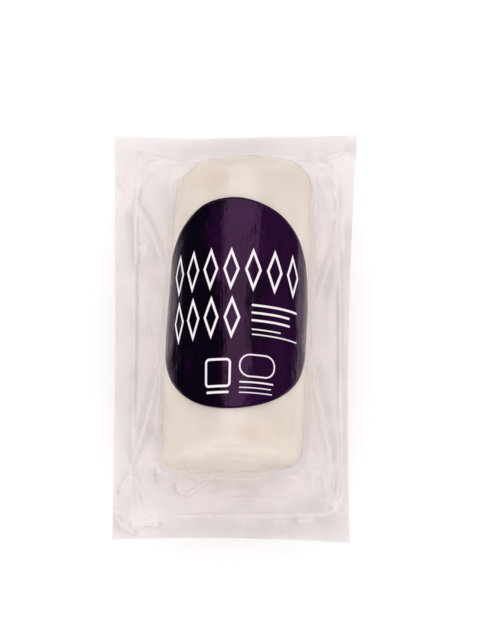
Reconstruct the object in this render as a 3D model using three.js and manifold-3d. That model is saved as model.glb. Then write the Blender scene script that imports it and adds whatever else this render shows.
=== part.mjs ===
// A fresh goat's cheese log, vacuum packed: the log lies between a clear lidding film and a clear
// formed film that are sealed together in a flat skirt all round, and a round label is wrapped over
// the top. Millimetres, +Z up. Y runs along the pack, X across it, and the pack lies on its back on
// z = 0, with the origin under the middle of its box.
import * as THREE from "three";
import { mergeVertices } from "three/addons/utils/BufferGeometryUtils.js";
import Module from "manifold-3d";

// The cheese log.
const LOG_DIAMETER = 50;
const LOG_LENGTH = 112;
const LOG_EDGE = 6; // rounding where the side meets each end
const FLAT_DEPTH = 1; // how far its own weight has flattened the log's underside
const END_DRAFT = Math.tan(THREE.MathUtils.degToRad(17)); // both ends draw in below the axis
const LOG_TURN = THREE.MathUtils.degToRad(-2.4); // the log lies a little askew in the pack
const LOG_CENTRE = new THREE.Vector2(0.8, 4.8); // and nearer its upper end

// The films and the label.
const GAP = 0.3; // between neighbouring pieces
const FILM = 0.4;
const FILLET = 3; // size of the film's sweep from the log into the skirt
const LABEL_DIAMETER = 75;
const LABEL_STRETCH = 1.03; // along the log, where the film's pull has drawn it a little longer
const LABEL_LEFT = 0.92; // and its left half reaches less far round the log
const LABEL_CENTRE = new THREE.Vector2(-2.2, -0.5); // round the log and along it, from its middle
const LABEL = 0.3;

// The pack's outline in plan: four corners, and the control point that bows the edge after each one
// inwards, anticlockwise from the lower left.
const CORNERS = [[-43.4, -75.6], [40.1, -76.8], [45.5, 76.8], [-45.4, 76.0]];
const BOWS = [[-3.5, -73.9], [39.1, 4.6], [0, 73.9], [-43.1, 0.2]];

const RADIUS = LOG_DIAMETER / 2;
const HALF_LENGTH = LOG_LENGTH / 2;
const AXIS_HEIGHT = FILM + GAP + RADIUS - FLAT_DEPTH;
const HALF_WIDTH = 45.5; // the pack's half width and half length, which set how the grid is spread
const HALF_PACK = 76.8;

const wasm = await Module();
wasm.setup();

function toManifold(geometry) {
  const bare = geometry.clone().deleteAttribute("normal").deleteAttribute("uv");
  const merged = mergeVertices(bare, 1e-4);
  return new wasm.Manifold(new wasm.Mesh({
    numProp: 3,
    vertProperties: merged.attributes.position.array,
    triVerts: new Uint32Array(merged.index.array),
  }));
}

function toGeometry(manifold) {
  const mesh = manifold.getMesh();
  const geometry = new THREE.BufferGeometry();
  geometry.setAttribute("position", new THREE.BufferAttribute(mesh.vertProperties, 3));
  geometry.setIndex(new THREE.BufferAttribute(mesh.triVerts, 1));
  geometry.computeVertexNormals();
  return geometry;
}

// ---- the log --------------------------------------------------------------------------------

// How far each end is drawn in at a height over the log's axis.
function endInset(z) {
  return END_DRAFT * Math.max(-z, 0);
}

function logGeometry() {
  const profile = new THREE.Path();
  profile.moveTo(0, -HALF_LENGTH);
  profile.lineTo(RADIUS - LOG_EDGE, -HALF_LENGTH);
  profile.absarc(RADIUS - LOG_EDGE, LOG_EDGE - HALF_LENGTH, LOG_EDGE, -Math.PI / 2, 0);
  profile.lineTo(RADIUS, HALF_LENGTH - LOG_EDGE);
  profile.absarc(RADIUS - LOG_EDGE, HALF_LENGTH - LOG_EDGE, LOG_EDGE, 0, Math.PI / 2);
  profile.lineTo(0, HALF_LENGTH);
  const even = new THREE.LatheGeometry(profile.getPoints(6), 48);
  const place = even.attributes.position;
  for (let i = 0; i < place.count; i++) {
    const y = place.getY(i);
    place.setY(i, y - Math.sign(y) * endInset(place.getZ(i)));
  }
  const crushed = new THREE.BoxGeometry(LOG_DIAMETER, 2 * LOG_LENGTH, LOG_DIAMETER);
  crushed.translate(0, 0, FLAT_DEPTH - LOG_DIAMETER);
  return toGeometry(toManifold(even).subtract(toManifold(crushed)));
}

// Distance from the log's surface, negative inside it, in the log's own frame.
function logDistance(x, y, z) {
  const across = Math.hypot(x, z) - (RADIUS - LOG_EDGE);
  const along = Math.abs(y) - (HALF_LENGTH - endInset(z) - LOG_EDGE);
  const inside = Math.min(Math.max(across, along), 0);
  const round = inside + Math.hypot(Math.max(across, 0), Math.max(along, 0)) - LOG_EDGE;
  return Math.max(round, FLAT_DEPTH - RADIUS - z);
}

// ---- the films ------------------------------------------------------------------------------

// The smaller of two distances, rounded off where they are within a fillet of each other.
function blended(a, b) {
  const nearness = Math.max(FILLET - Math.abs(a - b), 0) / FILLET;
  return Math.min(a, b) - (nearness * nearness * FILLET) / 4;
}

// How far above (side 1) or below (side -1) the log's axis a film's face lies, where that face runs
// `offset` away from the log and half a gap or more away from the skirt's middle plane.
function filmHeight(x, y, offset, side) {
  const skirt = offset - GAP / 2;
  let low = 0;
  let high = RADIUS + FILLET;
  for (let step = 0; step < 50; step++) {
    const z = (low + high) / 2;
    const log = logDistance(x, y, side * z) - offset;
    if (blended(log, z - skirt) > 0) high = z;
    else low = z;
  }
  return side * high;
}

// Grid lines across half of the log and its skirt: `reach` is where the side of the log is, and
// `turns` are the angles round its edge. Each line has its place and its share of the way out to
// the pack's edge, where the grid follows the outline.
const ROUND = [0, 8, 16, 26, 36, 46, 56, 65, 74, 82, 90].map(THREE.MathUtils.degToRad);
const EDGE_ROUND = [0, 15, 30, 45, 60, 76, 90].map(THREE.MathUtils.degToRad);
const STRAIGHT = [0, 0.34, 0.67]; // shares of the log's straight side
const DRAWN_IN = 10; // even steps along the stretch where the underside rounds and draws in
const SWEEP = [0.8, 1.8, 3.2, 5.5]; // beyond the side, down the film's sweep and out on the skirt

function linesAcross(offset) {
  const reach = RADIUS + offset;
  const lines = ROUND.map((angle) => ({ at: reach * Math.sin(angle), out: 0 }));
  return withSkirt(lines, reach, HALF_WIDTH);
}

function linesAlong(offset, side) {
  const reach = HALF_LENGTH + offset;
  const edge = LOG_EDGE + offset;
  const straight = side > 0 ? reach - edge : reach - edge - endInset(-RADIUS);
  const lines = STRAIGHT.map((share) => ({ at: share * straight, out: 0 }));
  if (side > 0) {
    lines.push(...EDGE_ROUND.map((angle) => ({ at: straight + edge * Math.sin(angle), out: 0 })));
  } else {
    for (let step = 0; step <= DRAWN_IN; step++) {
      lines.push({ at: THREE.MathUtils.lerp(straight, reach, step / DRAWN_IN), out: 0 });
    }
  }
  return withSkirt(lines, reach, HALF_PACK);
}

function withSkirt(half, reach, border) {
  half.push(...SWEEP.map((step) => ({ at: reach + step, out: 0 })));
  half.push({ at: (half.at(-1).at + border) / 2, out: 0.5 });
  half.push({ at: border, out: 1 });
  const mirrored = half.slice(1).reverse().map(({ at, out }) => ({ at: -at, out }));
  return [...mirrored, ...half];
}

// The pack's edges as curves, and a point inside them by blending opposite edges.
const edges = CORNERS.map((corner, i) => new THREE.QuadraticBezierCurve(
  new THREE.Vector2(...corner),
  new THREE.Vector2(...BOWS[i]),
  new THREE.Vector2(...CORNERS[(i + 1) % 4]),
));

function insideOutline(across, along) {
  const [lower, right, upper, left] = edges;
  const s = (across / HALF_WIDTH + 1) / 2;
  const t = (along / HALF_PACK + 1) / 2;
  const upright = lower.getPoint(s).lerp(upper.getPoint(1 - s), t);
  const level = left.getPoint(1 - t).lerp(right.getPoint(t), s);
  const bottom = lower.getPoint(0).lerp(lower.getPoint(1), s);
  const corners = bottom.lerp(upper.getPoint(1).lerp(upper.getPoint(0), s), t);
  return upright.add(level).sub(corners);
}

// One face of a film, as rows of points. Over the log its grid lines follow the log's own frame,
// and from the skirt outwards they turn to follow the outline.
function filmFace(offset, side) {
  const across = linesAcross(offset);
  const along = linesAlong(offset, side);
  return along.map((row) => across.map((column) => {
    const inLog = new THREE.Vector2(column.at, row.at);
    const turned = inLog.clone().rotateAround(new THREE.Vector2(), LOG_TURN).add(LOG_CENTRE);
    const share = Math.max(row.out, column.out);
    const place = turned.lerp(insideOutline(column.at, row.at), share);
    const seen = place.clone().sub(LOG_CENTRE).rotateAround(new THREE.Vector2(), -LOG_TURN);
    const height = filmHeight(seen.x, seen.y, offset, side);
    return new THREE.Vector3(place.x, place.y, AXIS_HEIGHT + height);
  }));
}

// A closed sheet between two faces of the same grid, `upper` above `lower`.
function sheetGeometry(upper, lower) {
  const rows = upper.length;
  const columns = upper[0].length;
  const points = [...upper.flat(), ...lower.flat()];
  const index = [];
  const top = (row, column) => row * columns + column;
  const under = (row, column) => rows * columns + top(row, column);
  // A quad is split along its shorter diagonal, so that the facets run with the log's corners.
  const quad = (a, b, c, d) => {
    const alongFirst = points[a].distanceTo(points[c]) <= points[b].distanceTo(points[d]);
    index.push(...(alongFirst ? [a, b, c, a, c, d] : [a, b, d, b, c, d]));
  };
  for (let r = 0; r + 1 < rows; r++) {
    for (let c = 0; c + 1 < columns; c++) {
      quad(top(r, c), top(r, c + 1), top(r + 1, c + 1), top(r + 1, c));
      quad(under(r, c), under(r + 1, c), under(r + 1, c + 1), under(r, c + 1));
    }
    quad(top(r, columns - 1), under(r, columns - 1), under(r + 1, columns - 1), top(r + 1, columns - 1));
    quad(top(r + 1, 0), under(r + 1, 0), under(r, 0), top(r, 0));
  }
  for (let c = 0; c + 1 < columns; c++) {
    quad(top(0, c), under(0, c), under(0, c + 1), top(0, c + 1));
    quad(top(rows - 1, c + 1), under(rows - 1, c + 1), under(rows - 1, c), top(rows - 1, c));
  }
  const geometry = new THREE.BufferGeometry().setFromPoints(points);
  geometry.setIndex(index);
  geometry.computeVertexNormals();
  return geometry;
}

// ---- the label ------------------------------------------------------------------------------

const LABEL_RINGS = 9;
const LABEL_SPOKES = 48;

// A point of the round label, `reach` from its middle, wrapped round the log `offset` away from it.
function labelPoint(reach, turn, offset) {
  const girth = RADIUS + offset;
  const width = Math.cos(turn) < 0 ? LABEL_LEFT : 1;
  const round = (LABEL_CENTRE.x + reach * width * Math.cos(turn)) / girth;
  const along = LABEL_CENTRE.y + reach * LABEL_STRETCH * Math.sin(turn);
  return new THREE.Vector3(girth * Math.sin(round), along, girth * Math.cos(round));
}

function labelGeometry() {
  const inner = GAP + FILM + GAP;
  const points = [];
  for (const offset of [inner + LABEL, inner]) {
    points.push(labelPoint(0, 0, offset));
    for (let ring = 1; ring <= LABEL_RINGS; ring++) {
      for (let spoke = 0; spoke < LABEL_SPOKES; spoke++) {
        const reach = (LABEL_DIAMETER / 2) * (ring / LABEL_RINGS);
        points.push(labelPoint(reach, (2 * Math.PI * spoke) / LABEL_SPOKES, offset));
      }
    }
  }
  const under = points.length / 2;
  const at = (ring, spoke) => (ring ? 1 + (ring - 1) * LABEL_SPOKES + (spoke % LABEL_SPOKES) : 0);
  const index = [];
  for (let spoke = 0; spoke < LABEL_SPOKES; spoke++) {
    index.push(at(0, 0), at(1, spoke), at(1, spoke + 1));
    index.push(under, under + at(1, spoke + 1), under + at(1, spoke));
    for (let ring = 1; ring < LABEL_RINGS; ring++) {
      const [a, b] = [at(ring, spoke), at(ring + 1, spoke)];
      const [c, d] = [at(ring + 1, spoke + 1), at(ring, spoke + 1)];
      index.push(a, b, c, a, c, d);
      index.push(under + a, under + c, under + b, under + a, under + d, under + c);
    }
    const [a, b] = [at(LABEL_RINGS, spoke), at(LABEL_RINGS, spoke + 1)];
    index.push(a, under + a, under + b, a, under + b, b);
  }
  const geometry = new THREE.BufferGeometry().setFromPoints(points);
  geometry.setIndex(index);
  geometry.computeVertexNormals();
  return geometry;
}

// ---- materials and assembly -----------------------------------------------------------------

const cheese = new THREE.MeshStandardMaterial({ color: 0xebdfd2, roughness: 0.6, metalness: 0 });
const film = new THREE.MeshStandardMaterial({
  color: 0xe6dcdb,
  roughness: 0.15,
  metalness: 0,
  transparent: true,
  opacity: 0.35,
});
const aubergine = new THREE.MeshStandardMaterial({ color: 0x1d0a26, roughness: 0.25, metalness: 0 });

function piece(name, geometry, material) {
  const mesh = new THREE.Mesh(geometry, material);
  mesh.name = name;
  return mesh;
}

// What is made in the log's own frame: the log and the label.
const askew = new THREE.Group();
askew.position.set(LOG_CENTRE.x, LOG_CENTRE.y, AXIS_HEIGHT);
askew.rotation.z = LOG_TURN;
askew.add(piece("cheese_log", logGeometry(), cheese));
askew.add(piece("round_label", labelGeometry(), aubergine));

const near = GAP;
const far = GAP + FILM;
const pack = new THREE.Group();
pack.add(askew);
pack.add(piece("lidding_film", sheetGeometry(filmFace(far, 1), filmFace(near, 1)), film));
pack.add(piece("formed_film", sheetGeometry(filmFace(near, -1), filmFace(far, -1)), film));

// The origin goes under the middle of the pack's box.
const box = new THREE.Box3().setFromObject(pack, true);
const middle = box.getCenter(new THREE.Vector3());
pack.position.set(-middle.x, -middle.y, -box.min.z);

export default pack;
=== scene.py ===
"""A fresh goat's cheese log, vacuum packed between two clear films, with a round label on top.

The log lies on its flattened underside. A lidding film and a formed film cling to it and to each
other in a skirt all round it, and the dark label is stuck to the outside of the lidding film. All
pieces are in metres, +Z up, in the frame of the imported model, and lie on z = 0.
"""
import math

import bpy
import numpy as np
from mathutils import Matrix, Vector


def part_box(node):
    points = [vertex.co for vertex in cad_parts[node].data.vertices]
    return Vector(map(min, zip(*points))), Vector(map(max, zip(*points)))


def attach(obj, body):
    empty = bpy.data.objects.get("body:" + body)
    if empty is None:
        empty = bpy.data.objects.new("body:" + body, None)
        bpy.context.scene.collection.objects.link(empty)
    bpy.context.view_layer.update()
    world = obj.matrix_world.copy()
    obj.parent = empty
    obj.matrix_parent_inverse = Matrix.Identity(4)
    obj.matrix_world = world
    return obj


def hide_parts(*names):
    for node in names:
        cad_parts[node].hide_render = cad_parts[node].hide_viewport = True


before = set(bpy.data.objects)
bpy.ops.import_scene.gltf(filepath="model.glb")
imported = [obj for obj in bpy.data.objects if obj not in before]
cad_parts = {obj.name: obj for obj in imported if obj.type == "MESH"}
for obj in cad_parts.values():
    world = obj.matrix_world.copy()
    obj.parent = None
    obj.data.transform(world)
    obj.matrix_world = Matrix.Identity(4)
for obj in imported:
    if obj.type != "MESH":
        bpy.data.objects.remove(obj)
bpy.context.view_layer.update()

MM = 0.001

# ---- driving sizes ---------------------------------------------------------------------------

LOG_LENGTH = 112 * MM
LOG_TURN = math.radians(-2.4)
FLAT_DEPTH = 1 * MM
LABEL_DIAMETER = 75 * MM
LABEL_PLACE = (-2.2 * MM, -0.45 * MM)  # round the log and along it, from the log's middle
LABEL_STRETCH = 1.03  # along the log
LABEL_LEAN = -0.02  # sideways for each step along the log
LABEL_LEFT = 0.92  # its left half reaches less far round the log
LABEL_PINCH_FAR = (0.04, 0.22)  # how much narrower its far end is drawn, on the left and the right
LABEL_PINCH_NEAR = (0.04, 0.07)

log_low, log_high = (Vector(corner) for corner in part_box("cheese_log"))
RADIUS = (log_high.z - log_low.z + FLAT_DEPTH) / 2
AXIS = Vector(((log_low.x + log_high.x) / 2, (log_low.y + log_high.y) / 2, log_high.z - RADIUS))
HALF_LENGTH = LOG_LENGTH / 2
FAR_EDGE = 7.5 * MM  # rounding of the end at +Y
NEAR_EDGE = 4.0 * MM
END_SKEW = math.tan(LOG_TURN)  # the ends are cut square to the pack and not to the log
END_DRAFT = math.tan(math.radians(17))  # both ends draw in below the axis

# How far each surface stands off the log's solid in the frame.
CHEESE_OFF = -0.50 * MM
FILM_OFF = -0.10 * MM
LABEL_OFF = 0.02 * MM
LABEL_THICK = 0.12 * MM
SKIRT_GAP = 0.10 * MM  # from the skirt's middle surface to each film
FLAT_LIFT = 0.17 * MM  # keeps the lower film's underside off the floor
FLAT_LEVEL = AXIS.z + FILM_OFF + FLAT_LIFT  # of the flattened underside, below the axis

film_high = Vector(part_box("lidding_film")[1])
HALF_WIDTH = film_high.x
HALF_PACK = film_high.y

# The pack's corners in plan, anticlockwise from the lower left, and the points that bow its edges.
CORNERS = np.array([(-43.4, -75.6), (40.1, -76.8), (45.4, 76.8), (-45.4, 76.0)]) * MM
BOWS = np.array([(-3.5, -73.9), (39.1, 4.6), (0.0, 73.9), (-43.1, 0.2)]) * MM

# ---- shared shape ----------------------------------------------------------------------------


def smoothstep(low, high, value):
    """0 below low, 1 above high, and an even S between them."""
    share = np.clip((value - low) / (high - low), 0, 1)
    return share * share * (3 - 2 * share)


def waves(seed, count, lengths, size):
    """A gentle uneven field: the sum of a few slanting waves with the given range of lengths."""
    draw = np.random.default_rng(seed)
    length = draw.uniform(*lengths, count)
    heading = draw.normal(size=(count, 3))
    heading /= np.linalg.norm(heading, axis=1, keepdims=True)
    steepness = 2 * math.pi * heading / length[:, None]
    phase = draw.uniform(0, 2 * math.pi, count)
    height = size / math.sqrt(count)

    def field(points):
        return height * np.sin(points @ steepness.T + phase).sum(axis=-1)

    return field


log_lumps = waves(3, 9, (22 * MM, 48 * MM), 0.35 * MM)
log_dimples = waves(8, 10, (8 * MM, 16 * MM), 0.07 * MM)
rim_dents = waves(14, 12, (5 * MM, 11 * MM), 0.30 * MM)
BELLY = 0.6 * MM  # how much thicker the log is in its middle
FAR_SHOULDERS = ((17 * MM, 2.2 * MM), (-14 * MM, 0.8 * MM))  # where the far end bulges, how far
SHOULDER_WIDTH = 6 * MM
NEAR_CORNERS = 2.2 * MM  # how far the near end's two corners are drawn in
NEAR_LEAN = 0.07  # how far the near end leans back, for each step up from the axis
LEAN_REACH = 14 * MM  # of the leaning part, along the log
FLOOR_FADE = (0.3 * MM, 4 * MM)  # the lumps grow between these heights over the flat underside
RIM_FADE = (3 * MM, 9 * MM)  # and the rim's dents fade between these distances from the end


def end_shape(x, y, z):
    """How far the soft ends bulge or draw in along the log."""
    bulge = sum(
        size * np.exp(-(((x - middle) / SHOULDER_WIDTH) ** 2))
        for middle, size in FAR_SHOULDERS
    )
    corners = NEAR_CORNERS * np.minimum(np.abs(x) / RADIUS, 1) ** 4
    at_end = smoothstep(HALF_LENGTH / 2, HALF_LENGTH, np.abs(y))
    lean = NEAR_LEAN * np.maximum(z, 0) * smoothstep(HALF_LENGTH - LEAN_REACH, HALF_LENGTH, -y)
    return np.where(y > 0, bulge, corners) * at_end + lean


def log_distance(x, y, z):
    """Distance from the even log's surface in its own frame, negative inside it."""
    edge = np.where(y > 0, FAR_EDGE, NEAR_EDGE)
    across = np.hypot(x, z) - (RADIUS - edge)
    along = np.abs(y) - (HALF_LENGTH - END_DRAFT * np.maximum(-z, 0) - edge)
    inside = np.minimum(np.maximum(across, along), 0)
    outside = np.hypot(np.maximum(across, 0), np.maximum(along, 0))
    return np.maximum(inside + outside - edge, -FLAT_LEVEL - z)


def log_normal(points):
    """The direction straight away from the log's surface."""
    step = 0.05 * MM
    slopes = []
    for axis in range(3):
        ahead, behind = points.copy(), points.copy()
        ahead[..., axis] += step
        behind[..., axis] -= step
        rise = log_distance(*np.moveaxis(ahead, -1, 0))
        slopes.append(rise - log_distance(*np.moveaxis(behind, -1, 0)))
    normal = np.stack(slopes, axis=-1)
    return normal / np.maximum(np.linalg.norm(normal, axis=-1, keepdims=True), 1e-9)


def soften(points, hold=None):
    """Gives points on or near the even log the real one's lumps, and skews them with its ends.

    hold is how closely each point follows the log, 1 on it and 0 out in the skirt.
    """
    if hold is None:
        hold = np.ones(points.shape[:-1])
    above_floor = smoothstep(*FLOOR_FADE, points[..., 2] + FLAT_LEVEL)
    at_rim = 1 - smoothstep(*RIM_FADE, HALF_LENGTH - np.abs(points[..., 1]))
    rise = log_lumps(points) + log_dimples(points) + rim_dents(points) * at_rim
    rise += BELLY * (1 - np.minimum(np.abs(points[..., 1]) / HALF_LENGTH, 1) ** 2)
    rise *= hold * above_floor
    moved = points + log_normal(points) * rise[..., None]
    moved[..., 1] -= points[..., 0] * END_SKEW * hold * np.abs(points[..., 1]) / HALF_LENGTH
    moved[..., 1] += end_shape(*np.moveaxis(points, -1, 0)) * hold
    return moved


def into_pack(points):
    """From the log's own frame into the pack's."""
    turn, rise = math.cos(LOG_TURN), math.sin(LOG_TURN)
    x = turn * points[..., 0] - rise * points[..., 1] + AXIS.x
    y = rise * points[..., 0] + turn * points[..., 1] + AXIS.y
    return np.stack([x, y, points[..., 2] + AXIS.z], axis=-1)


def into_log(x, y):
    """Plan coordinates from the pack's frame into the log's own."""
    turn, rise = math.cos(LOG_TURN), math.sin(LOG_TURN)
    return turn * (x - AXIS.x) + rise * (y - AXIS.y), turn * (y - AXIS.y) - rise * (x - AXIS.x)


# ---- helpers for bpy.ops ---------------------------------------------------------------------


def start(name):
    """Names the primitive that was just added and opens it in edit mode."""
    piece = bpy.context.object
    piece.name = piece.data.name = name
    bpy.ops.object.mode_set(mode="EDIT")
    return piece


def deselect():
    bpy.ops.object.select_all(action="DESELECT")


def points_of(piece):
    found = np.empty(len(piece.data.vertices) * 3)
    piece.data.vertices.foreach_get("co", found)
    return found.reshape(-1, 3)


def place(piece, points):
    piece.data.vertices.foreach_set("co", points.reshape(-1))
    piece.data.update()


def settle(piece):
    """Puts the piece's turn and place into its mesh."""
    bpy.ops.object.mode_set(mode="OBJECT")
    deselect()
    piece.select_set(True)
    bpy.context.view_layer.objects.active = piece
    bpy.ops.object.transform_apply(location=True, rotation=True, scale=True)


def modify(piece, kind, **settings):
    """Adds a modifier, gives it its settings and applies it."""
    bpy.context.view_layer.objects.active = piece
    modifier = piece.modifiers.new(kind.title(), kind)
    for setting, value in settings.items():
        setattr(modifier, setting, value)
    bpy.ops.object.modifier_apply(modifier=modifier.name)


def recalculate_normals(piece):
    bpy.context.view_layer.objects.active = piece
    bpy.ops.object.mode_set(mode="EDIT")
    bpy.ops.mesh.select_all(action="SELECT")
    bpy.ops.mesh.normals_make_consistent(inside=False)
    bpy.ops.object.mode_set(mode="OBJECT")


def shade_smooth(piece):
    deselect()
    piece.select_set(True)
    bpy.context.view_layer.objects.active = piece
    bpy.ops.object.shade_smooth()


# ---- the cheese log --------------------------------------------------------------------------

LOG_SIDES = 40
LOG_RINGS = 26
END_RINGS = (0.06, 0.12, 0.16, 0.2, 0.2, 0.12)  # widths of the rings in an end, over its radius
PULLS = 12  # how often the points are pulled onto the surface, a little nearer each time


def make_cheese():
    deselect()
    radius = RADIUS + CHEESE_OFF
    half = HALF_LENGTH + CHEESE_OFF
    bpy.ops.mesh.primitive_cylinder_add(
        vertices=LOG_SIDES, radius=radius, depth=2 * half, end_fill_type="NGON",
        rotation=(math.pi / 2, 0, 0),
    )
    cheese = start("soft_cheese")
    settle(cheese)
    bpy.ops.object.mode_set(mode="EDIT")
    # The end faces get rings, so that their rounding stays even.
    bpy.ops.mesh.select_mode(type="FACE")
    bpy.ops.mesh.select_all(action="DESELECT")
    bpy.ops.object.mode_set(mode="OBJECT")
    for face in cheese.data.polygons:
        face.select = len(face.vertices) == LOG_SIDES
    bpy.ops.object.mode_set(mode="EDIT")
    for ring in END_RINGS:
        bpy.ops.mesh.inset(thickness=ring * radius, use_individual=True)
    # The sides get rings along the log.
    bpy.ops.mesh.select_mode(type="EDGE")
    bpy.ops.mesh.select_all(action="DESELECT")
    bpy.ops.object.mode_set(mode="OBJECT")
    points = points_of(cheese)
    for edge in cheese.data.edges:
        first, last = (points[i] for i in edge.vertices)
        edge.select = bool(abs(first[1] - last[1]) > half)
    bpy.ops.object.mode_set(mode="EDIT")
    bpy.ops.mesh.subdivide(number_cuts=LOG_RINGS)
    bpy.ops.mesh.select_all(action="SELECT")
    bpy.ops.mesh.subdivide(number_cuts=1)
    bpy.ops.object.mode_set(mode="OBJECT")
    modify(cheese, "SUBSURF", levels=1, render_levels=1, subdivision_type="SIMPLE")
    # Every point is pulled onto the even log's surface, whose edges are rounded.
    points = points_of(cheese)
    for _ in range(PULLS):
        distance = log_distance(*points.T) - CHEESE_OFF
        points -= log_normal(points) * distance[:, None]
    place(cheese, into_pack(soften(points)))
    recalculate_normals(cheese)
    shade_smooth(cheese)
    return cheese


# ---- creases in the films --------------------------------------------------------------------

CREASE_POINTS = 28  # along a crease's path
CREASE_REACH = 5  # widths from its path, past which a crease is flat
CREASE_ENDS = 0.25  # share of the path over which a crease rises at each end


def bezier(start_point, bend, end):
    t = np.linspace(0, 1, CREASE_POINTS)[:, None]
    first, middle, last = (np.array(point) for point in (start_point, bend, end))
    return (1 - t) ** 2 * first + 2 * t * (1 - t) * middle + t * t * last


def crease(x, y, path, height, left, right, crest=0.25):
    """Height of one crease over the plan points x, y, where all but x and y is in millimetres.

    The crease is `height` high along its path, rounded over `crest`, and falls off over `left` and
    `right` on its two sides.
    """
    line = bezier(*path) * MM
    reach = CREASE_REACH * max(left, right) * MM
    near = (x > line[:, 0].min() - reach) & (x < line[:, 0].max() + reach)
    near &= (y > line[:, 1].min() - reach) & (y < line[:, 1].max() + reach)
    risen = np.zeros_like(x)
    if not near.any():
        return risen
    px, py = x[near], y[near]
    best = np.full(px.shape, np.inf)
    side = np.zeros(px.shape)
    way = np.zeros(px.shape)
    pieces = len(line) - 1
    for i in range(pieces):
        a, step = line[i], line[i + 1] - line[i]
        share = np.clip(((px - a[0]) * step[0] + (py - a[1]) * step[1]) / (step @ step), 0, 1)
        off_x, off_y = px - a[0] - share * step[0], py - a[1] - share * step[1]
        distance = np.hypot(off_x, off_y)
        closer = distance < best
        best = np.where(closer, distance, best)
        side = np.where(closer, step[0] * off_y - step[1] * off_x, side)
        way = np.where(closer, (i + share) / pieces, way)
    width = np.where(side > 0, left, right) * MM
    rounded = np.sqrt(best**2 + (crest * MM) ** 2) - crest * MM
    ends = smoothstep(0, CREASE_ENDS, way) * smoothstep(0, CREASE_ENDS, 1 - way)
    risen[near] = height * MM * np.exp(-rounded / width) * ends
    return risen


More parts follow.
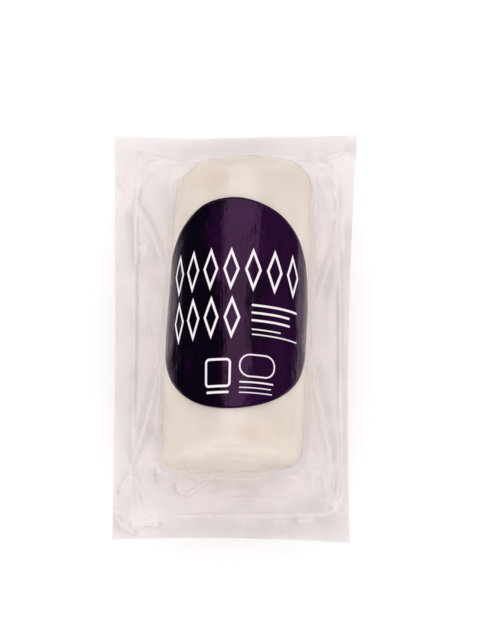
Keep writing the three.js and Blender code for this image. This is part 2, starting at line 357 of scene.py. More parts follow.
# Folds that run from the log's sides to the corners of the pocket, and smaller ones: each has its
# path (start, bend, end), height, and width on its left and right, in millimetres.
SKIRT_CREASES = [
    # upper left
    (((-38.5, 50.5), (-31.0, 41.0), (-25.8, 24.0)), 1.5, 1.3, 3.6),
    (((-37.4, 48.5), (-36.8, 36.0), (-36.0, 24.0)), 0.5, 0.5, 1.2),
    (((-35.6, 33.0), (-33.5, 30.5), (-31.0, 27.5)), 0.30, 0.5, 0.7),
    (((-38.5, 70.6), (-30.0, 67.0), (-17.5, 66.0)), -0.8, 0.8, 2.2),
    (((-35.0, 65.6), (-29.0, 65.2), (-21.5, 65.4)), 0.35, 0.4, 0.5),
    (((-33.0, 64.0), (-27.0, 63.8), (-20.5, 63.9)), 0.25, 0.4, 0.5),
    (((-36.6, 47.0), (-37.4, 60.0), (-27.5, 64.6)), 0.55, 0.6, 1.6),
    (((-43.5, 62.0), (-41.5, 55.0), (-38.0, 50.5)), 0.5, 0.8, 1.5),
    # left
    (((-31.0, 0.0), (-28.5, 0.4), (-25.4, 0.1)), 0.6, 0.7, 0.7),
    (((-36.5, 22.0), (-36.2, -4.0), (-36.6, -42.0)), 0.16, 0.6, 0.9),
    (((-33.0, 14.0), (-31.5, 6.0), (-33.5, -8.0)), 0.25, 1.4, 1.4),
    # lower left
    (((-25.6, -10.0), (-30.5, -27.0), (-36.9, -51.0)), 1.5, 3.2, 1.3),
    (((-36.4, -49.0), (-38.5, -54.0), (-42.0, -60.5)), 0.6, 1.0, 1.2),
    (((-36.7, -50.0), (-34.4, -56.0), (-30.0, -66.5)), 0.4, 0.6, 1.3),
    (((-34.6, -39.0), (-35.8, -44.0), (-36.2, -49.5)), 0.45, 0.5, 0.5),
    (((-28.2, -50.4), (-27.4, -53.0), (-26.4, -55.8)), 0.45, 0.35, 0.6),
    (((-26.6, -50.6), (-25.8, -52.8), (-24.9, -54.6)), 0.40, 0.35, 0.4),
    (((-24.9, -51.0), (-24.2, -52.6), (-23.4, -54.0)), 0.35, 0.35, 0.4),
    (((-42.6, -64.0), (-42.0, -72.0), (-33.0, -74.6)), 0.8, 1.0, 1.6),
    (((-39.0, -71.5), (-33.0, -68.8), (-24.0, -71.0)), 1.0, 1.6, 2.0),
    # below the log
    (((-19.4, -60.6), (-14.2, -57.8), (-7.6, -52.8)), 0.8, 0.5, 1.2),
    (((-19.2, -60.6), (-20.6, -56.6), (-21.4, -54.6)), 0.6, 0.5, 0.8),
    (((-20.4, -56.0), (-17.0, -54.4), (-12.0, -53.6)), 0.35, 0.4, 0.6),
    (((-10.5, -62.8), (0.0, -59.6), (20.0, -62.4)), 0.45, 0.6, 0.9),
    (((-13.5, -60.8), (-4.0, -57.0), (10.5, -58.0)), 0.30, 0.5, 0.9),
    (((3.0, -61.2), (12.0, -62.0), (24.0, -61.4)), -0.35, 0.4, 0.7),
    (((-28.0, -67.0), (-18.0, -67.8), (-4.0, -66.6)), 0.35, 0.35, 0.6),
    (((4.0, -67.4), (14.0, -65.0), (21.5, -68.4)), 0.45, 0.4, 0.7),
    (((20.0, -68.2), (24.5, -69.2), (29.0, -66.8)), -0.5, 0.5, 0.7),
    (((14.5, -68.8), (14.8, -71.0), (14.9, -73.0)), 0.40, 0.4, 0.4),
    (((-8.6, -66.8), (-7.2, -67.4), (-5.8, -66.8)), 0.35, 0.3, 0.3),
    (((-3.6, -66.6), (-2.4, -67.4), (-1.0, -66.9)), 0.35, 0.3, 0.3),
    # lower right
    (((26.6, -7.0), (29.0, -26.0), (35.2, -52.5)), 1.4, 1.3, 3.0),
    (((35.0, -50.0), (35.6, -54.5), (33.8, -60.0)), 0.5, 0.6, 1.0),
    (((25.8, -14.0), (27.0, -30.0), (31.4, -45.5)), -0.5, 0.7, 0.9),
    (((24.6, -47.5), (28.0, -49.2), (33.4, -47.6)), 0.45, 0.5, 0.6),
    (((24.0, -49.6), (28.0, -51.6), (33.0, -50.6)), 0.35, 0.4, 0.5),
    (((25.2, -51.0), (26.0, -55.0), (25.0, -61.0)), 0.35, 0.5, 0.8),
    (((28.8, -52.0), (30.2, -55.0), (29.6, -60.0)), 0.35, 0.5, 0.7),
    (((31.0, -60.0), (34.0, -64.0), (38.5, -67.0)), 0.45, 0.9, 1.2),
    # right
    (((37.4, 46.5), (38.0, 33.0), (27.0, 8.0)), 1.5, 3.0, 1.2),
    (((38.2, 48.0), (38.8, 40.0), (38.2, 28.0)), -0.5, 0.6, 0.6),
    (((38.0, 24.0), (37.6, -6.0), (36.4, -42.0)), 0.16, 0.7, 0.6),
    (((29.0, 60.0), (27.4, 50.0), (28.0, 34.0)), 0.5, 0.6, 1.0),
    (((33.0, 21.0), (31.0, 6.0), (32.5, -12.0)), 0.3, 1.6, 1.6),
    # upper right
    (((31.0, 60.0), (37.4, 57.5), (37.6, 45.0)), 0.6, 0.8, 0.9),
    (((24.8, 65.2), (33.0, 66.6), (43.6, 72.0)), -0.8, 1.9, 0.8),
    (((25.8, 63.8), (30.0, 63.4), (36.4, 64.8)), 0.6, 0.5, 0.6),
    (((41.0, 74.5), (43.2, 72.0), (44.6, 66.0)), 0.5, 1.0, 1.0),
]

# The pocket that the formed film was drawn into: its rim in plan, and the rim's corner radius.
POCKET_LOW = np.array((-36.6, -67.0)) * MM
POCKET_HIGH = np.array((37.5, 65.8)) * MM
POCKET_CORNER = 9 * MM
BEAD_HEIGHT = 0.12 * MM  # of the bead along the pocket's rim
BEAD_WIDTH = 0.9 * MM
POCKET_STEP = 0.35 * MM  # how much lower the skirt lies inside the pocket's rim
STEP_FROM, STEP_TO = -1 * MM, 1.5 * MM  # and between which distances inside the rim it sinks

skirt_swell = waves(21, 7, (38 * MM, 80 * MM), 0.55 * MM)
skirt_ripple = waves(5, 9, (9 * MM, 20 * MM), 0.07 * MM)


def pocket_inset(x, y):
    """Distance inside the pocket's rim, negative outside it."""
    middle = (POCKET_LOW + POCKET_HIGH) / 2
    half = (POCKET_HIGH - POCKET_LOW) / 2 - POCKET_CORNER
    past_x = np.abs(x - middle[0]) - half[0]
    past_y = np.abs(y - middle[1]) - half[1]
    corner = np.hypot(np.maximum(past_x, 0), np.maximum(past_y, 0))
    return POCKET_CORNER - corner - np.minimum(np.maximum(past_x, past_y), 0)


def skirt_level(x, y):
    """Height of the skirt's middle surface over the log's axis, before the folds are added."""
    flat = np.stack([x, y, np.zeros_like(x)], axis=-1)
    inset = pocket_inset(x, y)
    bead = BEAD_HEIGHT * np.exp(-((inset / BEAD_WIDTH) ** 2))
    step = POCKET_STEP * smoothstep(STEP_FROM, STEP_TO, inset)
    return skirt_swell(flat) + skirt_ripple(flat) + bead - step


# Folds that lie along the log's rim, in the log's frame, as above.
RIM_CREASES = [
    (((-21.0, -53.6), (-17.0, -55.0), (-12.0, -55.4)), 0.45, 0.5, 0.8),
    (((-12.0, -54.8), (0.0, -56.0), (13.0, -54.6)), 0.35, 0.7, 1.2),
    (((22.6, -46.0), (20.8, -50.0), (20.0, -55.0)), 0.35, 0.5, 0.6),
    (((24.2, -43.0), (23.4, -48.0), (22.8, -52.5)), 0.30, 0.4, 0.5),
    (((-23.0, 36.0), (-21.4, 42.0), (-18.5, 50.0)), 0.40, 0.4, 0.5),
    (((-19.0, 41.0), (-17.5, 46.0), (-15.0, 52.0)), 0.30, 0.4, 0.5),
    (((19.5, 42.0), (20.5, 48.0), (17.0, 53.0)), 0.30, 0.5, 0.6),
    (((-4.0, 50.0), (3.0, 52.4), (10.0, 54.0)), 0.25, 0.6, 0.8),
]

# Short wrinkles at the foot of the log, in millimetres too.
WRINKLE_WIDTHS = (0.35, 0.8)
WRINKLE_BEND = 0.08  # how far a wrinkle is bent sideways, over its length
WRINKLE_INSIDE = 0.4  # share of its length on the log's side of the foot
FOOT_OFF = 0.5  # from the even log to its foot
CORNER_GAPS = (4, 3)  # kept free of wrinkles at each corner, across and along the log


def short_wrinkles(seed, count, heights, lengths, lean):
    """Creases across the foot of the log at random places, in millimetres, in the log's frame."""
    draw = np.random.default_rng(seed)
    half_x, half_y = RADIUS / MM, HALF_LENGTH / MM
    found = []
    for _ in range(count):
        side = draw.integers(4)
        along = draw.uniform(-1, 1)
        if side < 2:
            out = np.array([1.0 if side else -1.0, 0.0])
            foot = out * (half_x + FOOT_OFF) + (0.0, along * (half_y - CORNER_GAPS[1]))
        else:
            out = np.array([0.0, 1.0 if side == 2 else -1.0])
            foot = out * (half_y + FOOT_OFF) + (along * (half_x - CORNER_GAPS[0]), 0.0)
        tangent = np.array([-out[1], out[0]])
        length = draw.uniform(*lengths)
        slant = draw.normal(0, lean)
        way = (out + tangent * slant) * length
        start_point = foot - way * WRINKLE_INSIDE
        end = foot + way * (1 - WRINKLE_INSIDE)
        bend = foot + tangent * draw.normal(0, WRINKLE_BEND) * length
        width = draw.uniform(*WRINKLE_WIDTHS)
        found.append(((start_point, bend, end), draw.uniform(*heights), width, width))
    return found


# ---- the films -------------------------------------------------------------------------------

FILLET = 3.0 * MM  # size of the film's sweep from the log into the skirt
HEIGHT_HALVINGS = 26  # steps in the search for a film's height
CLOSE_HOLD = 9 * MM  # distance from the log over which a film stops following its lumps
FOLDS_FROM = 1.6 * MM  # and at which the skirt's folds are at their full height
ROUND_STEPS = 52
STRAIGHT_STEPS = 64
EDGE_STEPS = 11
DRAWN_IN_STEPS = 22
SWEEP = np.array([0.35, 0.7, 1.1, 1.5, 2.0, 2.5, 3.1, 3.8, 4.6, 5.5]) * MM
SKIRT_STEPS = 34
FLOOR_CLEAR = 0.02 * MM  # no fold goes below this height

FOLD_SOFTNESS = 1.25  # how much wider the folds in the skirt spread than their own widths
FOLD_CREST = 0.4
CREST_HIGHLIGHT = 0.8  # how strongly a fold's height paints a highlight along its crest
CREST_HIGHLIGHT_WIDTH = (0.6, 0.7)  # of the painted highlight line, for a fold of no height and more for each mm of it
RIM_WHITENING = 0.35  # along the rim of the pocket
RIM_WIDTH = 0.8 * MM
FOOT_PAINTED_LIGHT = 1.0  # painted light round the foot of the log, which lifts the shade that falls there
FOOT_WIDTH = 3.2 * MM
FOOT_RISE = 3.0 * MM
# Patches of painted highlight on the skirt, and of painted shade where the strength is negative:
# the middle, the half widths and how much.
LIGHT_AND_SHADE_PATCHES = [
    ((-34, 33), (2.5, 9), 0.55),
    ((36, 37), (3, 10), 0.40),
    ((31, -28), (3, 13), 0.30),
    ((-31, -46), (4, 4), 0.30),
    ((-31, 8), (5, 9), 0.50),
    ((-33.5, -66.5), (5, 2.5), 0.45),
    ((-10, -64.3), (5, 1.2), 0.35),
    ((-21, -57), (4, 3), 0.25),
    ((-34, -34), (2.5, 8), -0.25),
    ((-30, 40), (3, 8), -0.20),
    ((2, -57.5), (18, 4), 0.30),
    ((-3, -67), (20, 7), -0.35),
    ((-3, -73), (24, 4), -0.20),
    ((0, 71), (32, 5), -0.50),
    ((30, -68), (14, 9), -0.60),
    ((-40, -69), (5, 7), -0.50),
]


def grid_lines(half, reach, border):
    """Lines over the whole width from those over half of it: places, and shares of the way out."""
    half = np.concatenate([half, reach + SWEEP])
    beyond = np.linspace(0, 1, SKIRT_STEPS + 1)[1:]
    at = np.concatenate([half, half[-1] + beyond * (border - half[-1])])
    out = np.concatenate([np.zeros_like(half), beyond])
    return np.concatenate([-at[:0:-1], at]), np.concatenate([out[:0:-1], out])


def lines_across():
    reach = RADIUS + FILM_OFF
    turn = np.linspace(0, math.pi / 2, ROUND_STEPS + 1)
    return grid_lines(reach * np.sin(turn), reach, HALF_WIDTH)


def lines_along(side):
    sides = []
    for edge in (NEAR_EDGE, FAR_EDGE):
        straight = HALF_LENGTH - edge
        if side > 0:
            turn = np.linspace(0, math.pi / 2, EDGE_STEPS + 1)[1:]
            rounded = straight + (edge + FILM_OFF) * np.sin(turn)
        else:
            straight -= END_DRAFT * RADIUS
            rounded = np.linspace(straight, HALF_LENGTH + FILM_OFF, DRAWN_IN_STEPS + 1)[1:]
        half = np.concatenate([np.linspace(0, straight, STRAIGHT_STEPS + 1), rounded])
        sides.append(grid_lines(half, HALF_LENGTH + FILM_OFF, HALF_PACK))
    near, far = sides
    middle = len(near[0]) // 2
    at = np.concatenate([near[0][:middle], far[0][middle:]])
    out = np.concatenate([near[1][:middle], far[1][middle:]])
    return at, out


def outline_edges():
    """The pack's four edges as functions of the way along, anticlockwise from the lower one."""

    def edge(i):
        a, b, c = CORNERS[i], BOWS[i], CORNERS[(i + 1) % 4]
        return lambda t: (1 - t) ** 2 * a + 2 * t * (1 - t) * b + t * t * c

    return [edge(i) for i in range(4)]


def inside_outline(across, along):
    """A point for each line across and along, where 1 and -1 are the outline's opposite edges."""
    lower, right, upper, left = outline_edges()
    s = ((across / HALF_WIDTH + 1) / 2)[..., None]
    t = ((along / HALF_PACK + 1) / 2)[..., None]
    upright = (1 - t) * lower(s) + t * upper(1 - s)
    level = (1 - s) * left(1 - t) + s * right(t)
    bottom = (1 - s) * CORNERS[0] + s * CORNERS[1]
    top = (1 - s) * CORNERS[3] + s * CORNERS[2]
    return upright + level - (1 - t) * bottom - t * top


def blended(a, b):
    """The smaller of two distances, rounded off where they are within a fillet of each other."""
    nearness = np.maximum(FILLET - np.abs(a - b), 0) / FILLET
    return np.minimum(a, b) - nearness * nearness * FILLET / 4


def film_height(x, y, level, side):
    """How high over the axis a film lies above (side 1) or below (side -1) the log and skirt."""
    low = np.full_like(x, -FILLET)
    high = np.full_like(x, RADIUS + FILLET)
    for _ in range(HEIGHT_HALVINGS):
        z = (low + high) / 2
        log = log_distance(x, y, side * z) - FILM_OFF
        clear = blended(log, z - side * level - SKIRT_GAP) > 0
        high = np.where(clear, z, high)
        low = np.where(clear, low, z)
    return side * high


def film_points(side, own_wrinkles, own_field):
    """The grid of a film's points in the pack's frame, with its folds."""
    across, across_out = lines_across()
    along, along_out = lines_along(side)
    column, row = np.meshgrid(across, along)
    share = np.maximum(*np.meshgrid(across_out, along_out))
    in_log = into_pack(np.stack([column, row, np.zeros_like(column)], axis=-1))[..., :2]
    plan_x, plan_y = np.moveaxis(
        in_log + (inside_outline(column, row) - in_log) * share[..., None], -1, 0
    )
    x, y = into_log(plan_x, plan_y)
    level = skirt_level(plan_x, plan_y)
    z = film_height(x, y, level, side)
    points = np.stack([x, y, z], axis=-1)
    away = np.maximum(log_distance(x, y, side * np.abs(z)) - FILM_OFF, 0)
    hold = 1 - smoothstep(0, CLOSE_HOLD, away)
    shaped = into_pack(soften(points, hold))
    skirt_share = smoothstep(0, FOLDS_FROM, away)
    folds = np.zeros_like(x)
    for path, height, *widths in SKIRT_CREASES:
        left, right = (width * FOLD_SOFTNESS for width in widths)
        folds += crease(plan_x, plan_y, path, height, left, right, FOLD_CREST)
    wrinkles = sum(crease(x, y, *one) for one in own_wrinkles)
    wrinkles = wrinkles + own_field(points) * (1 - skirt_share)
    folded = shaped + up_normals(shaped) * (folds * skirt_share + wrinkles)[..., None]
    folded[..., 2] = np.maximum(folded[..., 2], FLOOR_CLEAR)
    # The skirt's painted highlight and painted shade, which the film's material reads from its
    # points.
    painted_tone = skirt_painted_tone(plan_x, plan_y) * skirt_share
    # Painted light round the log's foot, which lifts the shade that falls there under the skirt.
    foot = np.exp(-((away / FOOT_WIDTH) ** 2) - ((z - level) / FOOT_RISE) ** 2)
    return folded, np.clip(painted_tone + FOOT_PAINTED_LIGHT * foot, -1, 1)


def skirt_painted_tone(x, y):
    """Painted highlight along the skirt's fold crests and in patches, and a lighter line along the
    pocket's rim; negative values are painted shade.
    """
    painted_tone = RIM_WHITENING * np.exp(-((pocket_inset(x, y) / RIM_WIDTH) ** 2))
    for path, height, _, _ in SKIRT_CREASES:
        width = CREST_HIGHLIGHT_WIDTH[0] + CREST_HIGHLIGHT_WIDTH[1] * abs(height)
        painted_tone += CREST_HIGHLIGHT * crease(x, y, path, abs(height), width, width) / MM
    for (middle_x, middle_y), (half_x, half_y), strength in LIGHT_AND_SHADE_PATCHES:
        off_x, off_y = (x / MM - middle_x) / half_x, (y / MM - middle_y) / half_y
        painted_tone += strength * np.exp(-(off_x**2) - off_y**2)
    return painted_tone


def up_normals(grid):
    """Unit normals on the upper side of a grid of points."""
    by_row, by_column = np.gradient(grid, axis=0), np.gradient(grid, axis=1)
    normal = np.cross(by_column, by_row)
    return normal / np.maximum(np.linalg.norm(normal, axis=-1, keepdims=True), 1e-12)


def make_film(name, side, own_wrinkles, own_field):
    """A sheet: a flat grid with its points moved to where the film lies."""
    points, painted_tone = film_points(side, own_wrinkles, own_field)
    rows, columns = painted_tone.shape
    deselect()
    bpy.ops.mesh.primitive_grid_add(x_subdivisions=columns - 1, y_subdivisions=rows - 1, size=2)
    film = start(name)
    bpy.ops.object.mode_set(mode="OBJECT")
    flat = points_of(film)
    column = np.rint((flat[:, 0] + 1) / 2 * (columns - 1)).astype(int)
    row = np.rint((flat[:, 1] + 1) / 2 * (rows - 1)).astype(int)
    place(film, points[row, column])
    # The film's points carry its painted highlight and painted shade.
    film.data.attributes.new("painted_tone", "FLOAT", "POINT").data.foreach_set("value", painted_tone[row, column])
    if side < 0:
        bpy.ops.object.mode_set(mode="EDIT")
        bpy.ops.mesh.select_all(action="SELECT")
        bpy.ops.mesh.flip_normals()
        bpy.ops.object.mode_set(mode="OBJECT")
    shade_smooth(film)
    return film


# ---- the label -------------------------------------------------------------------------------

LABEL_SPOKES = 160
LABEL_RINGS = 36


def make_label():
    deselect()
    radius = LABEL_DIAMETER / 2
    bpy.ops.mesh.primitive_circle_add(vertices=LABEL_SPOKES, radius=radius, fill_type="NGON")
    label = start("label_sheet")
    bpy.ops.mesh.select_mode(type="FACE")
    bpy.ops.mesh.select_all(action="SELECT")
    for _ in range(LABEL_RINGS):
        bpy.ops.mesh.inset(thickness=radius / (LABEL_RINGS + 0.6))
    bpy.ops.object.mode_set(mode="OBJECT")
    flat = points_of(label)
    # Its own map: millimetres from the middle, over the diameter.
    layer = label.data.uv_layers.new(name="wrap")
    corner_of = np.empty(len(label.data.loops), int)
    label.data.loops.foreach_get("vertex_index", corner_of)
    layer.data.foreach_set("uv", (flat[corner_of, :2] / LABEL_DIAMETER + 0.5).reshape(-1))
    girth = RADIUS + LABEL_OFF
    left = flat[:, 0] < 0
    far_pinch = np.where(left, *LABEL_PINCH_FAR)
    near_pinch = np.where(left, *LABEL_PINCH_NEAR)
    pinch = np.where(flat[:, 1] > 0, far_pinch, near_pinch) * (flat[:, 1] / radius) ** 4
    across = flat[:, 0] * np.where(left, LABEL_LEFT, 1) * (1 - pinch)
    turn = (LABEL_PLACE[0] + across + flat[:, 1] * LABEL_LEAN) / girth
    along = LABEL_PLACE[1] + flat[:, 1] * LABEL_STRETCH
    wrapped = np.stack([girth * np.sin(turn), along, girth * np.cos(turn)], axis=-1)
    place(label, into_pack(soften(wrapped)))
    modify(label, "SOLIDIFY", thickness=LABEL_THICK, offset=1)
    recalculate_normals(label)
    shade_smooth(label)
    return label


# ---- materials -------------------------------------------------------------------------------


class Wire:
    """A shader socket that can be added, multiplied and so on with numbers and other sockets."""

    def __init__(self, nodes, socket):
        self.nodes = nodes
        self.socket = socket

    def maths(self, operation, *others):
        values = dict(enumerate((self, *others)))
        return self.nodes.node("ShaderNodeMath", {"operation": operation}, values)

    def __add__(self, other):
        return self.maths("ADD", other)

    def __mul__(self, other):
        return self.maths("MULTIPLY", other)

    def __sub__(self, other):
        return self.maths("SUBTRACT", other)

    def __rsub__(self, other):
        return self.nodes.node("ShaderNodeMath", {"operation": "SUBTRACT"}, {0: other, 1: self})

    def __truediv__(self, other):
        return self.maths("DIVIDE", other)

    __radd__ = __add__
    __rmul__ = __mul__

    def __abs__(self):
        return self.maths("ABSOLUTE")

    def least(self, other):
        return self.maths("MINIMUM", other)

    def most(self, other):
        return self.maths("MAXIMUM", other)

    def rising(self, low, high):
        """0 up to low, 1 from high, and an even S between them."""
        span = {"Value": self, "From Min": low, "From Max": high}
        return self.nodes.node("ShaderNodeMapRange", {"interpolation_type": "SMOOTHSTEP"}, span)


class Nodes:
    """A node tree that is filled one node at a time."""

    def __init__(self, owner):
        owner.use_nodes = True
        self.owner = owner
        self.tree = owner.node_tree
        self.tree.nodes.clear()

    def node(self, kind, settings=None, values=None, output=0):
        """Adds a node with its settings, then its sockets' values or links, and gives an output."""
        made = self.tree.nodes.new(kind)
        for name, value in (settings or {}).items():
            setattr(made, name, value)
        for name, value in (values or {}).items():
            if isinstance(value, Wire):
                self.tree.links.new(value.socket, made.inputs[name])
            else:
                made.inputs[name].default_value = value
        return Wire(self, made.outputs[output]) if made.outputs else None

    def parts(self, vector):
        """A vector's three numbers."""
        split = self.node("ShaderNodeSeparateXYZ", values={0: vector}).socket.node
        return [Wire(self, socket) for socket in split.outputs]

    def where(self, kind="Object"):
        return self.node("ShaderNodeTexCoord", output=kind)

    def stretched(self, vector, scale):
        return self.node("ShaderNodeMapping", values={"Vector": vector, "Scale": scale})

    def noise(self, vector, scale, detail=3.0, roughness=0.5):
        values = {"Vector": vector, "Scale": scale, "Detail": detail, "Roughness": roughness}
        return self.node("ShaderNodeTexNoise", values=values)

    def mix(self, share, first, second):
        """A colour between two."""
        return self.node("ShaderNodeMix", {"data_type": "RGBA"}, {0: share, 6: first, 7: second}, 2)

    def blend(self, share, first, second):
        """A shader between two."""
        return self.node("ShaderNodeMixShader", values={0: share, 1: first, 2: second})

    def bump(self, height, distance, strength):
        values = {"Height": height, "Distance": distance, "Strength": strength}
        return self.node("ShaderNodeBump", values=values)

    def surface(self, shader, output="ShaderNodeOutputMaterial"):
        self.node(output, values={"Surface": shader})
        return self.owner


def new_finish(name):
    return Nodes(bpy.data.materials.new(name))


IVORY = (0.90, 0.855, 0.785, 1)
IVORY_WARM = (0.83, 0.735, 0.610, 1)
BLOTCHES = 60.0  # steps of its noise in a metre, as for the other noises
CLOTS = 300.0
GRAIN = 1400.0


def cheese_finish():
    """Fresh cheese: matt and a little translucent, with faint curd and warmer blotches."""
    finish = new_finish("fresh_cheese")
    where = finish.where()
    blotches = finish.noise(where, BLOTCHES, 3.0, 0.6).rising(0.50, 0.72)
    clots = finish.noise(where, CLOTS, 3.0, 0.6)
    grain = finish.noise(where, GRAIN, 2.0, 0.6)
    colour = finish.mix(blotches * 0.40 + clots * 0.28, IVORY, IVORY_WARM)
    shader = finish.node("ShaderNodeBsdfPrincipled", values={
        "Base Color": colour,
        "Roughness": clots * 0.25 + 0.42,
        "IOR": 1.38,
        "Subsurface Weight": 0.55,
        "Subsurface Radius": (1.0, 0.72, 0.5),
        "Subsurface Scale": 6 * MM,
        "Normal": finish.bump(clots * 0.7 + grain * 0.3, 0.16 * MM, 0.7),
    })
    return finish.surface(shader)


FILM_TINT = (0.925, 0.893, 0.890, 1)
FILM_GLOSS = 0.07  # share that mirrors where the film is seen face on
FILM_SHEEN = 0.45  # and how much more where it is seen edge on
FILM_HAZE = 0.05
# more haze where the film holds painted highlight or painted shade
PAINTED_TONE_HAZE = 0.22
# the haze's dim and white colours, which also paint the film's shade and highlight
HAZE_DIM = (0.36, 0.325, 0.33, 1)
HAZE_WHITE = (0.86, 0.81, 0.815, 1)
CLOUDS = 40.0
PATCHES = 70.0
CRINKLES = 300.0


def film_finish():
    """Clear film: what lies behind it shows, a little tinted, under a gloss that grows as it tilts.

    A thin haze clouds it; more haze, whiter or dimmer, carries the painted highlight and painted
    shade that the film's points hold.
    """
    finish = new_finish("clear_film")
    where = finish.where()
    cloud = finish.noise(where, CLOUDS, 3.0)
    crinkle = finish.noise(where, CRINKLES, 3.0, 0.55)
    normal = finish.bump(crinkle + cloud * 1.5, 0.16 * MM, 0.6)
    clear = finish.node("ShaderNodeBsdfTransparent", values={"Color": FILM_TINT})
    gloss = finish.node("ShaderNodeBsdfGlossy", values={
        "Color": (1, 0.985, 0.985, 1), "Roughness": 0.28, "Normal": normal,
    })
    facing = {"Blend": 0.18, "Normal": normal}
    tilt = finish.node("ShaderNodeLayerWeight", values=facing, output="Fresnel")
    glazed = finish.blend(tilt * FILM_SHEEN + FILM_GLOSS, clear, gloss)
    # The painted highlight and shade that the film's points hold whiten or dim its haze.
    painted_tone = finish.node("ShaderNodeAttribute", {"attribute_name": "painted_tone"}, output="Fac")
    patches = finish.noise(where, PATCHES, 3.0, 0.6).rising(0.3, 0.7)
    white = (painted_tone + patches).rising(0.0, 1.0)
    haze = finish.node("ShaderNodeBsdfPrincipled", values={
        "Base Color": finish.mix(white, HAZE_DIM, HAZE_WHITE), "Roughness": 0.5,
    })
    share = cloud.rising(0.3, 0.7) * FILM_HAZE + abs(painted_tone) * PAINTED_TONE_HAZE + FILM_HAZE / 2
    return finish.surface(finish.blend(share, glazed, haze))


INK = (0.0012, 0.0003, 0.0040, 1)
# painted purple reflection, mixed into the dark ink in patches
PAINTED_PURPLE_REFLECTION = (0.0130, 0.0006, 0.0190, 1)
INK_SHEEN = (0.94, 0.40, 0.92, 1)
CREAM = (0.80, 0.745, 0.765, 1)
REFLECTION_TO_RIGHT = 0.009  # how much more painted purple reflection, for each millimetre to the right
REFLECTION_DRIFTS = 85.0
STREAKS = 380.0
DENTS = 120.0
SPECKLES = 2200.0
# Sizes of the print, in millimetres.
PRINT_BLUR = 0.11  # half the width of a line's soft edge
LOZENGE_PITCH = 7.75
LOZENGE_WIDTH = 5.0
LOZENGE_LINE = 0.85


def printed_marks(across, along):
    """Distance from the nearest printed line, in millimetres from the label's middle."""

    def lozenges(first, count, middle, half_height):
        """A row of upright lozenge outlines."""
        pitch, half_width = LOZENGE_PITCH, LOZENGE_WIDTH / 2
        start_at = first - pitch / 2
        cell = ((across - start_at) / pitch).maths("FRACT") * pitch - pitch / 2
        slope = math.hypot(1 / half_width, 1 / half_height)
        ring = abs(abs(cell) / half_width + abs(along - middle) / half_height - 1.0) / slope
        row_middle = start_at + pitch * count / 2
        past = abs(across - row_middle) - pitch * count / 2
        return (ring - LOZENGE_LINE / 2).most(past)

    def bar(x0, x1, middle, thick):
        """A line with rounded ends."""
        half = (x1 - x0 - thick) / 2
        end = (abs(across - (x0 + x1) / 2) - half).most(0.0)
        height = abs(along - middle)
        return (end * end + height * height).maths("SQRT") - thick / 2

    def box_line(x, y, half_width, half_height, corner, line):
        """The outline of a rounded box."""
        dx = (abs(across - x) - (half_width - corner)).most(0.0)
        dy = (abs(along - y) - (half_height - corner)).most(0.0)
        return abs((dx * dx + dy * dy).maths("SQRT") - corner) - line / 2

    marks = [
        lozenges(-23.6, 7, 11.4, 6.6),
        lozenges(-23.0, 4, -5.9, 6.4),
        bar(7.0, 25.2, -1.2, 0.75),
        bar(7.0, 21.6, -3.9, 0.75),
        bar(7.0, 21.9, -6.6, 0.75),
        bar(7.1, 17.9, -9.8, 0.45),
        bar(7.2, 25.6, -11.6, 0.45),
        box_line(-4.6, -25.2, 4.6, 4.6, 1.2, 0.8),
        bar(-9.0, -0.2, -31.9, 0.8),
        box_line(9.6, -22.6, 6.2, 3.8, 3.6, 0.5),
        bar(3.4, 15.8, -28.4, 0.55),
        bar(3.4, 15.0, -30.3, 0.35),
        bar(3.4, 15.6, -32.0, 0.35),
    ]
    nearest = marks[0]
    for mark in marks[1:]:
        nearest = nearest.least(mark)
    return nearest


def label_finish():
    """Glossy dark print with cream lines, faintly streaked along the log, with painted purple
    reflection in patches over the dark ink, more of it to the right.
    """
    finish = new_finish("printed_label")
    wrap = finish.node("ShaderNodeUVMap", {"uv_map": "wrap"})
    across, along = ((part - 0.5) * (LABEL_DIAMETER / MM) for part in finish.parts(wrap)[:2])
    printed = (0.0 - printed_marks(across, along)).rising(-PRINT_BLUR, PRINT_BLUR)
    where = finish.where()
    # Painted purple reflection in patches over the dark ink, growing towards the right.
    purple_reflection = finish.noise(finish.stretched(where, (1.0, 0.6, 1.0)), REFLECTION_DRIFTS, 4.0, 0.6)
    purple_reflection = (purple_reflection + across * REFLECTION_TO_RIGHT).rising(0.44, 0.66)
    colour = finish.mix(printed, finish.mix(purple_reflection, INK, PAINTED_PURPLE_REFLECTION), CREAM)
    streaks = finish.noise(finish.stretched(where, (1.0, 0.10, 1.0)), STREAKS, 3.0, 0.6)
    dents = finish.noise(where, DENTS, 2.0)
    speckle = finish.noise(where, SPECKLES, 1.0)
    shader = finish.node("ShaderNodeBsdfPrincipled", values={
        "Base Color": colour,
        "Roughness": speckle * 0.06 + 0.17,
        "IOR": 1.5,
        "Specular Tint": INK_SHEEN,
        "Normal": finish.bump(streaks * 0.45 + dents * 1.5, 0.55 * MM, 0.7),
    })
    return finish.surface(shader)


def floor_finish():
    finish = new_finish("studio_floor")
    return finish.surface(finish.node("ShaderNodeBsdfPrincipled", values={
        "Base Color": (0.97, 0.97, 0.97, 1), "Roughness": 0.9, "Specular IOR Level": 0.1,
    }))


# ---- studio ----------------------------------------------------------------------------------

CAMERA_TILT = math.radians(74)
CAMERA_DISTANCE = 0.700
CAMERA_AIM = (1.5 * MM, 4.65 * MM)  # a little right of the pack's middle and beyond it
LONG_SIDE_SEEN = 232.1 * MM  # at the place aimed at
SENSOR = 36.0

SOFTBOX_LEAN = (math.radians(-1), math.radians(16))  # from straight above, across and along
SOFTBOX_DISTANCE = 1.2
SOFTBOX_SIZE = (0.80, 1.8)
SOFTBOX_RADIANCE = 1.0

# The room's light on matt surfaces, overhead and level with the pack.
ROOM_OVERHEAD = 1.32
ROOM_LEVEL = 2.0
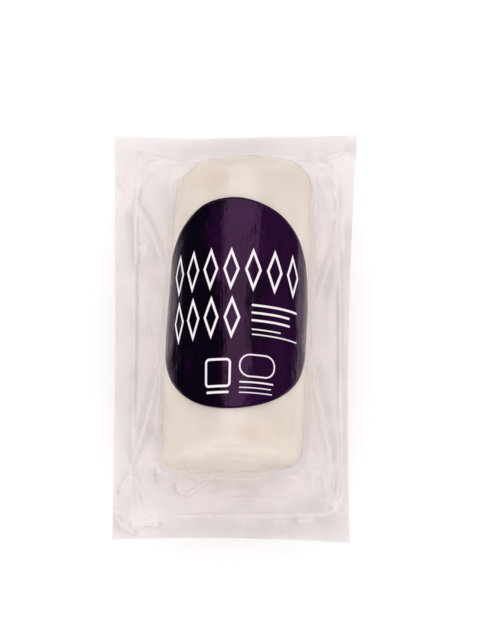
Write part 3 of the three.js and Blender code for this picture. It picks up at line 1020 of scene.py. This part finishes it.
# What glossy surfaces mirror: a dim room, a pale card on the right, one at each end and the floor.
ROOM_DIM = 0.02
CARD_RIGHT = 0.12
CARD_ENDS = 0.45
MIRRORED_FLOOR = 1.15


def make_camera():
    data = bpy.data.cameras.new("camera")
    data.sensor_width = SENSOR
    data.lens = SENSOR * CAMERA_DISTANCE / LONG_SIDE_SEEN
    data.clip_start = 0.01
    camera = bpy.data.objects.new("camera", data)
    target = Vector((*CAMERA_AIM, AXIS.z))
    back = Vector((0, -math.cos(CAMERA_TILT), math.sin(CAMERA_TILT)))
    camera.location = target + CAMERA_DISTANCE * back
    camera.rotation_euler = (math.pi / 2 - CAMERA_TILT, 0, 0)
    bpy.context.scene.collection.objects.link(camera)
    bpy.context.scene.camera = camera


def make_softbox():
    """An overhead lamp that only shows in gloss; the room lights what is matt."""
    width, length = SOFTBOX_SIZE
    data = bpy.data.lights.new("softbox", "AREA")
    data.shape = "RECTANGLE"
    data.size = width
    data.size_y = length
    data.energy = 4 * SOFTBOX_RADIANCE * width * length
    lamp = bpy.data.objects.new("softbox", data)
    direction = Vector((math.tan(SOFTBOX_LEAN[0]), math.tan(SOFTBOX_LEAN[1]), 1)).normalized()
    lamp.location = AXIS + SOFTBOX_DISTANCE * direction
    lamp.rotation_euler = direction.to_track_quat("Z", "Y").to_euler()
    lamp.visible_diffuse = False
    lamp.visible_camera = False
    bpy.context.scene.collection.objects.link(lamp)


def make_lights():
    make_softbox()
    world = bpy.data.worlds.new("studio")
    bpy.context.scene.world = world
    room = Nodes(world)
    right, along, up = room.parts(room.where("Generated"))
    matt = (1.0 - up.most(0.0)) * (ROOM_LEVEL - ROOM_OVERHEAD) + ROOM_OVERHEAD
    cards = right.rising(0.0, 0.5) * CARD_RIGHT + abs(along).rising(0.35, 0.8) * CARD_ENDS
    floor = (0.0 - up).rising(0.30, 0.55) * MIRRORED_FLOOR
    glossy = (cards * up.rising(-0.1, 0.1) + ROOM_DIM).most(floor)
    is_glossy = room.node("ShaderNodeLightPath", output="Is Glossy Ray")
    strength = matt + is_glossy * (glossy - matt)
    background = room.node("ShaderNodeBackground", values={"Strength": strength})
    room.surface(background, "ShaderNodeOutputWorld")
    bpy.context.scene.view_settings.view_transform = "Standard"


def make_floor():
    deselect()
    bpy.ops.mesh.primitive_plane_add(size=8)
    floor = bpy.context.object
    floor.name = "floor"
    floor.data.materials.append(floor_finish())
    floor.visible_glossy = False


# ---- assembly --------------------------------------------------------------------------------


def finish_piece(piece, material, slot, *nodes):
    piece.data.materials.clear()
    piece.data.materials.append(material)
    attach(piece, "root")
    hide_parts(*nodes)


make_camera()
make_lights()
make_floor()

top_wrinkles = short_wrinkles(11, 46, (0.06, 0.18), (4, 12), 0.5)
under_wrinkles = short_wrinkles(12, 70, (-0.55, -0.10), (6, 22), 0.6)
top_field = waves(31, 8, (5 * MM, 11 * MM), 0.02 * MM)
under_field = waves(32, 12, (6 * MM, 16 * MM), 0.10 * MM)

cheese = make_cheese()
lidding = make_film("lidding_sheet", 1, top_wrinkles + RIM_CREASES, top_field)
formed = make_film("formed_sheet", -1, under_wrinkles, under_field)
label = make_label()

film_material = film_finish()
finish_piece(cheese, cheese_finish(), "cheese", "cheese_log")
finish_piece(lidding, film_material, "clear_film", "lidding_film")
finish_piece(formed, film_material, "clear_film", "formed_film")
finish_piece(label, label_finish(), "label", "round_label")
